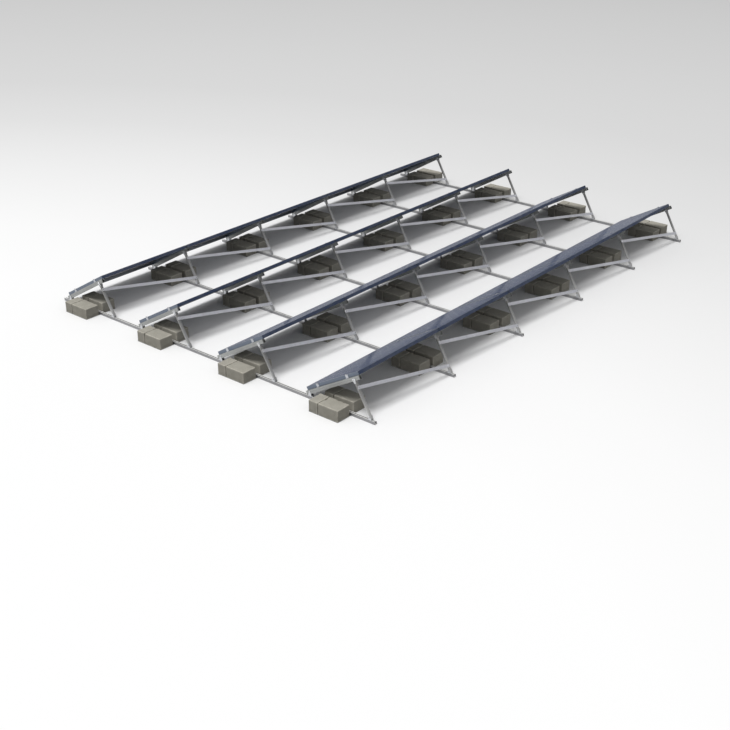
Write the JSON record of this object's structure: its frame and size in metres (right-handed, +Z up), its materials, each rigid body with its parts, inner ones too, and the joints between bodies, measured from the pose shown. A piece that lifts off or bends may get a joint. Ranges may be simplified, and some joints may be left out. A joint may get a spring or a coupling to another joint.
{
  "type": "solar ballast mount",
  "caption": "Free-standing ballasted array for a flat roof: rows of landscape solar modules tilted on braced triangular frames, tied by base rails and held by concrete blocks.",
  "frame": {"origin": "on the ground, under the middle of the array's bounding box", "axes": "+X along the module rows, +Y towards the rows' low edges, +Z up"},
  "size_m": [8.896, 6.1228, 0.635],
  "materials": {
    "base_rail": "mill finish extrusion",
    "frame": "mill finish extrusion and sheet",
    "ballast": "rough cast concrete",
    "module": "glass laminate in a satin aluminium frame"
  },
  "bodies": {
    "root": {"base_rail_1": "base_rail", "base_rail_2": "base_rail", "base_rail_3": "base_rail", "base_rail_4": "base_rail", "base_rail_5": "base_rail", "base_rail_6": "base_rail", "frame_r1_1": "frame", "ballast_r1_1": "ballast", "frame_r1_2": "frame", "ballast_r1_2": "ballast", "frame_r1_3": "frame", "ballast_r1_3": "ballast", "frame_r1_4": "frame", "ballast_r1_4": "ballast", "frame_r1_5": "frame", "ballast_r1_5": "ballast", "frame_r1_6": "frame", "ballast_r1_6": "ballast", "frame_r2_1": "frame", "ballast_r2_1": "ballast", "frame_r2_2": "frame", "ballast_r2_2": "ballast", "frame_r2_3": "frame", "ballast_r2_3": "ballast", "frame_r2_4": "frame", "ballast_r2_4": "ballast", "frame_r2_5": "frame", "ballast_r2_5": "ballast", "frame_r2_6": "frame", "ballast_r2_6": "ballast", "frame_r3_1": "frame", "ballast_r3_1": "ballast", "frame_r3_2": "frame", "ballast_r3_2": "ballast", "frame_r3_3": "frame", "ballast_r3_3": "ballast", "frame_r3_4": "frame", "ballast_r3_4": "ballast", "frame_r3_5": "frame", "ballast_r3_5": "ballast", "frame_r3_6": "frame", "ballast_r3_6": "ballast", "frame_r4_1": "frame", "ballast_r4_1": "ballast", "frame_r4_2": "frame", "ballast_r4_2": "ballast", "frame_r4_3": "frame", "ballast_r4_3": "ballast", "frame_r4_4": "frame", "ballast_r4_4": "ballast", "frame_r4_5": "frame", "ballast_r4_5": "ballast", "frame_r4_6": "frame", "ballast_r4_6": "ballast", "module_row_1": "module", "module_row_2": "module", "module_row_3": "module", "module_row_4": "module"}
  },
  "joints": []
}
